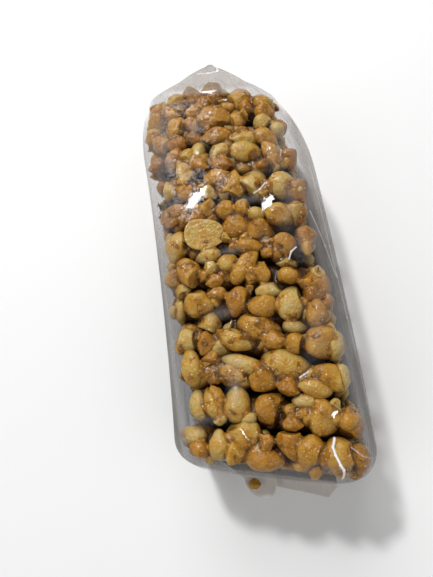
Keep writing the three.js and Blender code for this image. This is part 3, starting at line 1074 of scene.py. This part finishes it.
def hollows(piece):
    """How hollow the skin is at each point: the share of a full hollow by which evening it would move it out."""
    points = points_of(piece)
    edges = np.empty(len(piece.data.edges) * 2, int)
    piece.data.edges.foreach_get("vertices", edges)
    first, second = edges.reshape(-1, 2).T
    shares = np.bincount(edges, minlength=len(points))
    evened = points.copy()
    for _ in range(HOLLOW_STEPS):
        evened = np.stack([
            np.bincount(first, evened[second, i], len(points)) + np.bincount(second, evened[first, i], len(points))
            for i in range(3)
        ], axis=1) / shares[:, None]
    normals = np.empty(len(points) * 3)
    piece.data.vertices.foreach_get("normal", normals)
    return np.clip(((evened - points) * normals.reshape(-1, 3)).sum(axis=1) / HOLLOW_FULL, 0, 1)


for piece in caramel_pieces:
    store(piece, "depth", depths(piece))
    store(piece, "hollow", hollows(piece))
    caramel.wear(piece)
    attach(piece, "root")
    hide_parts("film_pack")

caramel_tree = tree_of(caramel_pieces)
BARE_REACH = 0.0006


def bareness(piece):
    """How far each point of a kernel stands out of the caramel, from 0 at its skin to 1."""
    shares = []
    for vertex in piece.data.vertices:
        nearest, normal, _, distance = caramel_tree.find_nearest(vertex.co)
        stands_out = (vertex.co - nearest).dot(normal) > 0
        shares.append(min(1, distance / BARE_REACH) if stands_out else 0)
    return shares


# The kernels on top are rounded further, and then thinned to stay under the limit for one piece.
FINER_LEVELS = 1
FINER_KEEP = 0.72
kernel_pieces = []
for name, heap in (("kernels_on_top", top_heap), ("kernels_round_sides", side_heap)):
    piece = heap.make(name)
    if heap is top_heap:
        piece.modifiers.new("finer", "SUBSURF").levels = FINER_LEVELS
        piece.modifiers["finer"].render_levels = FINER_LEVELS
        piece.modifiers.new("fewer", "DECIMATE").ratio = FINER_KEEP
        apply_modifiers(piece)
    store(piece, "bare", bareness(piece))
    store(piece, "depth", depths(piece))
    kernel.wear(piece)
    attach(piece, "root")
    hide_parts("film_pack")
    kernel_pieces.append(piece)

# ---------------------------------------------------------------------------------------------------------------------
# The film: one thin clear skin, tight over the slabs' top edges, standing clear of their ends, folded to a flat tip
# at the far end and closed flat at the near one. Its sizes are those of the solid that it stands for.
FILM_ROUND = 300
TOP_FINENESS = 2.5
RIM_STEPS = 8
ROW_STEPS = 250
TENT_STEPS = 36
CAP_STEPS = 14
ARC_STEPS = 17


def film_section(station):
    """Points round the film at a station, from the middle of its underside to the right and up, finest on top."""
    left, right, top, bottom, shoulder, foot = film_sizes(station)
    middle = (right - left) / 2
    outline = [(middle, bottom)]
    for centre_x, centre_z, radius, begin in (
        (right - foot, bottom + foot, foot, -90),
        (right - shoulder, top - shoulder, shoulder, 0),
        (shoulder - left, top - shoulder, shoulder, 90),
        (foot - left, bottom + foot, foot, 180),
    ):
        for angle in np.radians(np.linspace(begin, begin + 90, ARC_STEPS)):
            outline.append((centre_x + radius * math.cos(angle), centre_z + radius * math.sin(angle)))
    outline = np.array(outline + [(middle, bottom)])
    lengths = np.linalg.norm(np.diff(outline, axis=0), axis=1)
    top_start, top_end = ARC_STEPS + ARC_STEPS // 2, 3 * ARC_STEPS - ARC_STEPS // 2
    lengths[top_start:top_end] *= TOP_FINENESS
    lengths = np.concatenate([[0], np.cumsum(lengths)])
    even = np.linspace(0, lengths[-1], FILM_ROUND, endpoint=False)
    return np.stack([np.interp(even, lengths, outline[:, 0]), np.interp(even, lengths, outline[:, 1])], axis=1)


def film_ring(station):
    """The section's points, placed in the slabs' skewed plane."""
    section = film_section(station)
    yaw = lerp(NEAR_YAW, SLAB_YAW, smooth(station, NEAR_END, NEAR_END + NEAR_BLEND))
    ring = np.stack([section[:, 0] * np.cos(yaw), station - section[:, 0] * np.sin(yaw), section[:, 1]], axis=1)
    return ring + np.array(row_middle)


rim_turn = np.linspace(0, math.pi / 2, RIM_STEPS, endpoint=False)
tent_turn = np.linspace(0, math.pi / 2, TENT_STEPS + 1)[1:]
stations = np.concatenate([
    NEAR_END + NEAR_RIM * (1 - np.cos(rim_turn)),
    np.linspace(NEAR_END + NEAR_RIM, ROW_END, ROW_STEPS),
    ROW_END + (TENT_END - ROW_END) * np.sin(tent_turn),
])
film_rings = np.array([film_ring(station) for station in stations])


def ways_out(rings):
    """The way out of the film at each of its points."""
    round_way = np.roll(rings, -1, axis=1) - np.roll(rings, 1, axis=1)
    long_way = np.gradient(rings, axis=0)
    out = np.cross(long_way, round_way)
    return out / np.maximum(np.linalg.norm(out, axis=2, keepdims=True), 1e-12)


# The film is stretched over the brittle like a skin: it starts low, lies on what is below it, and is then evened out
# again and again without going through a kernel. Towards the sides it keeps to its own form.
FEEL = 0.007
FILM_GAP = 0.0003
STRETCHES = 450
MOST_SAG = 0.0015
TIGHT_HEIGHTS = (0.0345, 0.0385)
TIGHT_REACHES = (0.0235, 0.0265)
TIGHT_MIDDLE = -0.001
TIGHT_END = 0.004
contents = tree_of(caramel_pieces + kernel_pieces)
film_out = ways_out(film_rings)
film_aside = np.abs(film_rings[..., 0] - row_middle.x - TIGHT_MIDDLE)
tight = smooth(film_rings[..., 2], *TIGHT_HEIGHTS) * (1 - smooth(film_aside, *TIGHT_REACHES))
tight *= (1 - smooth(stations, ROW_END - TIGHT_END, ROW_END))[:, None]
rests_on = np.full(tight.shape, -FEEL)
for i, j in np.argwhere(tight > 0):
    start = Vector(film_rings[i, j] + film_out[i, j] * FEEL)
    hit = contents.ray_cast(start, Vector(-film_out[i, j]), 2 * FEEL)
    if hit[0] is not None:
        rests_on[i, j] = FEEL - hit[3] + FILM_GAP
level = np.maximum(rests_on, -MOST_SAG)
for _ in range(STRETCHES):
    evened = (np.roll(level, 1, axis=1) + np.roll(level, -1, axis=1)) / 4
    evened[1:-1] += (level[2:] + level[:-2]) / 4
    evened[0] += level[0] / 2
    evened[-1] += level[-1] / 2
    level = np.maximum(evened * tight, rests_on * (tight > 0))
    level[tight == 0] = 0

# Long shallow folds run along the loose sides and down the tent.
FOLD_HEIGHT = 0.0004
FOLDS_ROUND = 40
FOLDS_ALONG = 14
FOLDS_FADE_ABOVE = (0.032, 0.039)
FOLDS_FADE_BELOW = (0.002, 0.008)
loose = (1 - smooth(film_rings[..., 2], *FOLDS_FADE_ABOVE)) * smooth(film_rings[..., 2], *FOLDS_FADE_BELOW)
folds = np.array([
    [noise.noise(Vector((FOLDS_ROUND * j / FILM_ROUND, FOLDS_ALONG * station, 0))) for j in range(FILM_ROUND)]
    for station in stations
])
film_rings += film_out * (level + loose * folds * FOLD_HEIGHT)[..., None]

# Where the film was pinched between slabs as it shrank, it stands off in small slanted facets, which catch the lamp.
# Each is given by the photo pixel of its middle, its length and width, and its turn in the picture.
LAMP_PLACE = Vector((-0.16, 0.50, 0.80))
FACETS = [
    ((196, 197), 0.0060, 0.0027, 45),
    ((268, 202), 0.0042, 0.0025, 50),
    ((208, 92), 0.0044, 0.0014, 0),
    ((197, 153), 0.0012, 0.0010, 0),
    ((175, 160), 0.0008, 0.0008, 0),
    ((198, 225), 0.0045, 0.0007, 20),
    ((231, 379), 0.0036, 0.0009, -10),
    ((235, 390), 0.0009, 0.0030, 0),
    ((335, 414), 0.0022, 0.0018, 50),
    ((245, 436), 0.0045, 0.0010, -45),
    ((218, 298), 0.0008, 0.0007, 0),
    ((210, 291), 0.0007, 0.0006, 0),
    ((304, 260), 0.0010, 0.0005, -30),
]
FACET_CLEARS = 95
FACET_TOP = 0.0423
FACET_RAGGED = 0.5
FACET_GRAIN = 700
FACET_EDGE = (0.6, 1.3)
FACET_MIDDLE = 0.9
FACET_LIMIT = 1.6
FACET_DROP = 0.003


def picture_way(turn):
    """The level direction that lies at a turn, in degrees, from the picture's right."""
    turn = math.radians(turn)
    way = np.array((camera_turn @ Vector((math.cos(turn), math.sin(turn), 0))).xy)
    return way / np.linalg.norm(way)


def patch_reach(offset, length, width, turn):
    """How far out some places lie, given from the middle of a turned patch, with its edge at about 1."""
    way = picture_way(turn)
    return np.hypot((offset @ way) / length, (offset @ np.array([-way[1], way[0]])) / width)


for pixel, length, width, turn in FACETS:
    spot = np.array(photo_spot(pixel, KERNEL_TOP + FILM_GAP))
    i, j = np.unravel_index(np.linalg.norm(film_rings - spot, axis=2).argmin(), film_rings.shape[:2])
    spot = film_rings[i, j]
    wanted = (CAMERA_PLACE - Vector(spot)).normalized() + (LAMP_PLACE - Vector(spot)).normalized()
    slope = -np.array(wanted.xy) / wanted.z
    offset = (film_rings - spot)[..., :2]
    reach = patch_reach(offset, length, width, turn)
    for i, j in np.argwhere(reach < FACET_LIMIT):
        reach[i, j] += FACET_RAGGED * noise.noise(Vector(film_rings[i, j]) * FACET_GRAIN)
    share = (1 - smooth(reach, *FACET_EDGE)) * (film_rings[..., 2] > spot[2] - FACET_DROP)
    above = film_rings[..., 2] - offset @ slope
    plane = np.minimum(np.percentile(above[reach < FACET_MIDDLE], FACET_CLEARS) + offset @ slope, FACET_TOP)
    film_rings[..., 2] += share * np.maximum(plane - film_rings[..., 2], 0)

# Milky patches of painted reflection on slack film: pixel, length, width and turn as above, and strength.
PAINTED_REFLECTIONS = [
    ((175, 205), 0.0050, 0.0022, 50, 0.5), ((235, 388), 0.0016, 0.0046, 0, 0.8), ((303, 244), 0.0030, 0.0046, 20, 0.5),
    ((221, 312), 0.0030, 0.0014, 0, 0.5), ((194, 126), 0.0024, 0.0024, 0, 0.5), ((249, 199), 0.0040, 0.0012, 0, 0.5),
    ((200, 422), 0.0060, 0.0012, 10, 0.5), ((231, 250), 0.0030, 0.0010, 0, 0.5), ((230, 365), 0.0030, 0.0020, 20, 0.4),
    ((158, 140), 0.0036, 0.0160, 5, 0.9), ((162, 240), 0.0028, 0.0180, 5, 0.9), ((168, 320), 0.0022, 0.0100, 5, 0.5),
    ((312, 470), 0.0120, 0.0016, 0, 0.3), ((292, 190), 0.0030, 0.0120, -12, 0.4),
    ((318, 320), 0.0024, 0.0120, -12, 0.4), ((283, 130), 0.0036, 0.0120, -16, 0.5),
]


def patch_share(points, pixel, length, width, turn):
    """How far out some points lie from the patch under a pixel."""
    return patch_reach((points - np.array(photo_spot(pixel, KERNEL_TOP)))[..., :2], length, width, turn)


# The near end is closed by rings that shrink to a point, and the far tip by one point.
CAP_BULGE = 0.0006
near_middle = film_rings[0].mean(axis=0)
cap_rings = []
for share in np.sin(np.linspace(0, math.pi / 2, CAP_STEPS, endpoint=False)):
    ring = near_middle + (film_rings[0] - near_middle) * share
    ring[:, 1] -= CAP_BULGE * (1 - share ** 2)
    cap_rings.append(ring)
all_rings = np.concatenate([cap_rings, film_rings, [np.tile(film_rings[-1].mean(axis=0), (FILM_ROUND, 1))]])
bpy.ops.object.select_all(action="DESELECT")
bpy.ops.mesh.primitive_uv_sphere_add(segments=FILM_ROUND, ring_count=len(all_rings) - 1, radius=1)
film = bpy.context.object
film.name = "film"
film.data.name = "film"
globe = points_of(film)
rows = np.rint(np.arccos(np.clip(globe[:, 2], -1, 1)) / math.pi * (len(all_rings) - 1)).astype(int)
columns = np.rint(np.arctan2(globe[:, 1], globe[:, 0]) / (2 * math.pi) * FILM_ROUND).astype(int) % FILM_ROUND
film.data.vertices.foreach_set("co", all_rings[rows, columns].ravel())
store(film, "round", columns / FILM_ROUND)


# Two flaps of spare film stick out of the near end at half height: a rounded tongue that holds a fallen crumb, and a
# wider one with a corner cut off.
FLAP_ROOT = NEAR_END + 0.003
FLAP_THICKNESS = 0.0003
FLAP_STEPS = 28
TONGUE_HEIGHT = 0.0204
TONGUE_MIDDLE = -0.0086
TONGUE_HALF_WIDTH = 0.0051
TONGUE_LEFT_ROOT = -0.0225
TONGUE_TIP = -0.0749
CORNER_HEIGHT = 0.0184
CORNER_LEFT = -0.004
CORNER_RIGHT = 0.0155
CORNER_LEFT_TIP = -0.0712
CORNER_RIGHT_TIP = -0.0724
CORNER_CUT = 0.0036
FLAP_WAVE = 0.0004
WAVES_ACROSS = 420
WAVES_ALONG = 260
WAVE_START = 1.3
FLAP_CURL = 0.0010
CURL_START = 0.004
CURL_LENGTH = 0.006
ON_FLAP = -1.0


def tongue_edges(share):
    """Station and left and right edges of the tongue, from its root at 0 to its tip at 1."""
    station = lerp(FLAP_ROOT, TONGUE_TIP, share)
    neck = TONGUE_TIP + TONGUE_HALF_WIDTH
    narrowing = np.clip((station - FLAP_ROOT) / (neck - FLAP_ROOT), 0, 1)
    half = np.sqrt(np.maximum(TONGUE_HALF_WIDTH ** 2 - np.maximum(neck - station, 0) ** 2, 1e-9))
    left = np.where(station > neck, lerp(TONGUE_LEFT_ROOT, TONGUE_MIDDLE - half, narrowing), TONGUE_MIDDLE - half)
    return station, left, TONGUE_MIDDLE + half


def flap(name, height, plan):
    """A thin loose flap of film, with its outline and its waves made from an even grid."""
    bpy.ops.object.select_all(action="DESELECT")
    bpy.ops.mesh.primitive_grid_add(x_subdivisions=FLAP_STEPS, y_subdivisions=FLAP_STEPS, size=1)
    sheet = bpy.context.object
    sheet.name = name
    grid = points_of(sheet) + 0.5
    across, station = plan(grid[:, 0], 1 - grid[:, 1])
    wave = FLAP_WAVE * np.sin(across * WAVES_ACROSS + WAVE_START) * np.sin((FLAP_ROOT - station) * WAVES_ALONG)
    curl = FLAP_CURL * np.clip((FLAP_ROOT - station - CURL_START) / CURL_LENGTH, 0, 1) ** 2
    local = np.stack([across * math.cos(SLAB_YAW), station - across * math.sin(SLAB_YAW), height + wave + curl], axis=1)
    sheet.data.vertices.foreach_set("co", (local + np.array(row_middle)).ravel())
    sheet.modifiers.new("thickness", "SOLIDIFY").thickness = FLAP_THICKNESS
    apply_modifiers(sheet)
    store(sheet, "round", np.full(len(sheet.data.vertices), ON_FLAP))
    return sheet


def tongue_plan(aside, outward):
    """Where the grid's points go on the tongue, from shares to the right and outwards."""
    station, left, right = tongue_edges(outward)
    return lerp(left, right, aside), station


def corner_plan(aside, outward):
    """The same on the flap with a corner cut off."""
    across = lerp(CORNER_LEFT, CORNER_RIGHT, aside)
    cut_start = CORNER_RIGHT - CORNER_CUT
    tip = lerp(CORNER_LEFT_TIP, CORNER_RIGHT_TIP, (across - CORNER_LEFT) / (cut_start - CORNER_LEFT))
    tip = np.maximum(tip, CORNER_RIGHT_TIP + np.maximum(across - cut_start, 0))
    return across, lerp(FLAP_ROOT, tip, outward)


flaps = [flap("tongue", TONGUE_HEIGHT, tongue_plan), flap("corner", CORNER_HEIGHT, corner_plan)]
bpy.ops.object.select_all(action="DESELECT")
for sheet in flaps + [film]:
    sheet.select_set(True)
bpy.context.view_layer.objects.active = film
bpy.ops.object.join()
film.data.shade_smooth()

# The film is clear where it lies on the brittle, and misty where it stands clear of it or lies folded; this grey haze
# is partly a painted reflection of the surroundings on the steep sides. Each pair of values is where a look starts and
# where it is full.
MIST_MIDDLE = -0.001
SIDE_MIST = (0.0240, 0.0290)
TENT_MIST = (ROW_END - 0.003, ROW_END + 0.003)
NEAR_MIST = (ROW_END - 0.001, ROW_END + 0.0015)
NEAR_MIST_SHARE = 0.45
TOP_CLEARS = (0.028, 0.034)
FACET_GLEAM = (0.3, 1.3)
LEFT_SIDE = (0.0200, 0.0290)
LEFT_NEAR = (-0.04, 0.02)
UNDERSIDE_ENDS = (0.002, 0.006)
LOWEST_REFLECTION_VEIL = 0.02
LOWEST_FACET = 0.03
FLAP_CLEAR = 0.0008
film_points = points_of(film)
film_across, film_station, film_height = pack_place(film_points)
on_flap = film_station < NEAR_END - FLAP_CLEAR
misty = np.maximum.reduce([
    smooth(np.abs(film_across - MIST_MIDDLE), *SIDE_MIST),
    smooth(film_station, *TENT_MIST),
    smooth(-film_station, *NEAR_MIST) * NEAR_MIST_SHARE,
    1 - smooth(film_height, *TOP_CLEARS),
])
store(film, "misty", misty)
# Painted reflections: how strongly each point lies in a milky patch.
veil = sum(np.exp(-patch_share(film_points, *patch) ** 2) * strength for *patch, strength in PAINTED_REFLECTIONS)
store(film, "veil", np.clip(veil, 0, 1) * (film_height > LOWEST_REFLECTION_VEIL))
facet = np.maximum.reduce([1 - smooth(patch_share(film_points, *patch), *FACET_GLEAM) for patch in FACETS])
store(film, "facet", facet * (film_height > LOWEST_FACET))
# Painted shade: the misty film on the near left side is hazed darker.
store(film, "left", misty * smooth(-film_across, *LEFT_SIDE) * smooth(-film_station, *LEFT_NEAR))
store(film, "flap", on_flap.astype(float))
store(film, "station", film_station)
store(film, "underside", 1 - smooth(film_height, *UNDERSIDE_ENDS))

# Creases in the film, each a line of photo pixels and a width: three long ones down the right side, a bright one over
# the kernel at the near right, the folded edge at the tip, and short ones here and there. They are painted white and
# hazed: painted highlights along the folds, partly film whitened where it is folded.
CREASE_HIGHLIGHTS = [
    ([(310, 165), (330, 246), (347, 318), (375, 440)], 0.0005, 0.4),
    ([(310, 210), (325, 246), (337, 276)], 0.0004, 0.4),
    ([(335, 439), (333, 447), (335, 455), (341, 464), (344, 471), (344, 478)], 0.00045, 0.9),
    ([(198, 74), (208, 73), (217, 71), (217, 68), (214, 65)], 0.0007, 0.7),
    ([(289, 258), (291, 252), (296, 247)], 0.0003, 0.7),
    ([(254, 193), (260, 189), (265, 183)], 0.0003, 0.6),
    ([(299, 377), (304, 375), (308, 372)], 0.0003, 0.6),
    ([(280, 156), (281, 150), (278, 145)], 0.0003, 0.3),
    ([(352, 448), (362, 455), (371, 457)], 0.0003, 0.3),
]
OUT_OF_SIGHT = 1000


def film_place(pixel):
    """Where on the film a photo pixel lies: its share round the film and its station, with the length of a share."""
    seen = (film_rings - np.array(CAMERA_PLACE)) @ np.array(camera_turn)
    pixels = np.stack([seen[..., 0], -seen[..., 1]], axis=2) * LENS_PIXELS / -seen[..., 2:]
    wanted = np.array([pixel[0] - PHOTO_WIDTH / 2, pixel[1] - PHOTO_HEIGHT / 2])
    towards = ((np.array(CAMERA_PLACE) - film_rings) * ways_out(film_rings)).sum(axis=2) > 0
    gaps = np.linalg.norm(pixels - wanted, axis=2) + np.where(towards, 0, OUT_OF_SIGHT)
    i, j = np.unravel_index(gaps.argmin(), gaps.shape)
    return j / FILM_ROUND, stations[i], np.linalg.norm(film_rings[i, j + 1] - film_rings[i, j - 1]) * FILM_ROUND / 2


def crease_highlight_lines(finish, station):
    """1 along the middle of the strongest creases, and 0 away from them all."""
    around = finish.attribute("round")
    crease_highlight = 0
    for line, width, strength in CREASE_HIGHLIGHTS:
        places = [film_place(pixel) for pixel in line]
        for (share, start, length), (next_share, end, _) in zip(places, places[1:]):
            aside = (around - share) * length
            onward = station - start
            run, climb = (next_share - share) * length, end - start
            part = ((aside * run + onward * climb) / (run * run + climb * climb)).clamped()
            off = (aside - part * run) * (aside - part * run) + (onward - part * climb) * (onward - part * climb)
            crease_highlight = (1 - finish.step(off, 0, width * width)) * strength + crease_highlight
    return crease_highlight.clamped()


def film_finish():
    """The film gleams like thin metal in its facets and hazes grey where it is misty, in part a painted reflection; its
    milky patches are painted reflections and its creases painted highlights.
    """
    finish = Finish("film")
    misty = finish.attribute("misty")
    station = finish.attribute("station")
    flap_share = finish.attribute("flap")
    # Painted highlights: the film is whitened and hazed along the creases.
    crease_highlight = crease_highlight_lines(finish, station)
    drawn_out = finish.node("ShaderNodeMapping", {}, {"Vector": finish.place(), "Scale": (1, 0.12, 1)})
    streak = finish.step(finish.noise(420, place=drawn_out), 0.5, 0.75)
    far_share = finish.step(station, -0.02, ROW_END + 0.01)
    grey = finish.mix(far_share, colour(92, 87, 78), colour(152, 138, 124))
    # Painted light: the flaps are coloured lighter, against the pack's shadow that falls on them.
    grey = finish.mix(flap_share, grey, colour(238, 232, 226))
    grey = finish.mix(streak * 0.25, grey, colour(225, 222, 220))
    facet = finish.attribute("facet")
    # Painted reflections: milky patches of film.
    veil = finish.attribute("veil") * (finish.step(finish.noise(500, 3, 0.6, 0.5), 0.3, 0.7) * 0.6 + 0.4)
    base = finish.mix(misty, finish.mix(veil, colour(240, 238, 240), colour(160, 138, 114)), grey)
    gleam = facet * (finish.step(finish.noise(900, 2), 0.35, 0.6) * 0.6 + 0.4) * 0.011 + misty * 0.06 + 0.0015
    # Painted shade: the near left side gets extra haze to make it darker.
    haze = (
        veil * 0.3 + misty * 0.37 + streak * misty * 0.12 + crease_highlight * (1 - misty * 0.6)
        + finish.attribute("left") * 0.27 + finish.attribute("underside") * 0.3 + flap_share * 0.25
    )
    finish.feed(finish.shader, {
        "Base Color": finish.mix(crease_highlight, base, colour(250, 250, 250)),
        "Metallic": gleam / (gleam + haze) * 0.95,
        "Roughness": 0.1 + misty * 0.25 + veil * 0.4,
        "Alpha": gleam + haze,
        "Normal": finish.bump(finish.noise(260, 3, 0.6) * (1 - facet * 0.7), 0.25, 0.0008),
        "Specular IOR Level": 0.2,
    })
    return finish


film_finish().wear(film)
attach(film, "root")
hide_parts("film_pack")

# ---------------------------------------------------------------------------------------------------------------------
# The fallen bit: a rough crumb of glazed peanut, orange-brown, that has come off the slabs. It lies loose on the tongue
# of film at the near end, outside the pack.
FALLEN_PIXEL = (255, 484)
FALLEN_LIFT = 0.0010
FALLEN_WAY = Vector((1, 0.1, 0))
FALLEN_SIZE = (0.0042, 0.0030, 0.0022)
FALLEN_LOT = 0.5
FALLEN_BARE = 0.8
fallen_heap = Heap()
fallen_place = photo_spot(FALLEN_PIXEL, TONGUE_HEIGHT + FALLEN_LIFT)
fallen_heap.place_copy(SHAPES["rough"][1], fallen_place, FALLEN_WAY, UP, FALLEN_SIZE, GOLDEN, FALLEN_LOT)
fallen = fallen_heap.make("fallen_bit")
store(fallen, "bare", np.full(len(fallen.data.vertices), FALLEN_BARE))
store(fallen, "depth", np.zeros(len(fallen.data.vertices)))
kernel.wear(fallen)
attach(fallen, "root")

# ---------------------------------------------------------------------------------------------------------------------
# The studio: a plain pale floor under soft light. A small lamp beyond the pack makes the film's glints, a broad light
# above it lights the brittle's tops and leaves the gaps dark, and one on either side fills in.
FLOOR_SIZE = 3
FLOOR_COLOUR = (0.94, 0.94, 0.94, 1)
WORLD_STRENGTH = 0.1
bpy.ops.object.select_all(action="DESELECT")
bpy.ops.mesh.primitive_plane_add(size=FLOOR_SIZE)
floor = bpy.context.object
floor.name = "floor"
floor_finish = Finish("floor")
floor_finish.feed(floor_finish.shader, {"Base Color": FLOOR_COLOUR, "Roughness": 0.6})
floor_finish.wear(floor)


def soft_light(name, place, size, power):
    """A square light that faces the pack."""
    data = bpy.data.lights.new(name, "AREA")
    data.shape = "RECTANGLE"
    data.size = data.size_y = size
    data.energy = power
    lamp = bpy.data.objects.new(name, data)
    bpy.context.collection.objects.link(lamp)
    lamp.location = place
    lamp.rotation_mode = "QUATERNION"
    lamp.rotation_quaternion = (Vector(place) - row_middle).to_track_quat("Z", "Y")


soft_light("lamp", LAMP_PLACE, 0.08, 5)
soft_light("key", (0.0, 1.1, 0.8), 0.9, 7)
soft_light("left", (-0.9, -0.35, 0.65), 1.1, 4)
soft_light("right", (0.8, -0.45, 0.7), 1.1, 4)
world = bpy.data.worlds.new("studio")
bpy.context.scene.world = world
world.use_nodes = True
world.node_tree.nodes["Background"].inputs["Color"].default_value = (1, 1, 1, 1)
world.node_tree.nodes["Background"].inputs["Strength"].default_value = WORLD_STRENGTH
bpy.context.scene.view_settings.view_transform = "Standard"
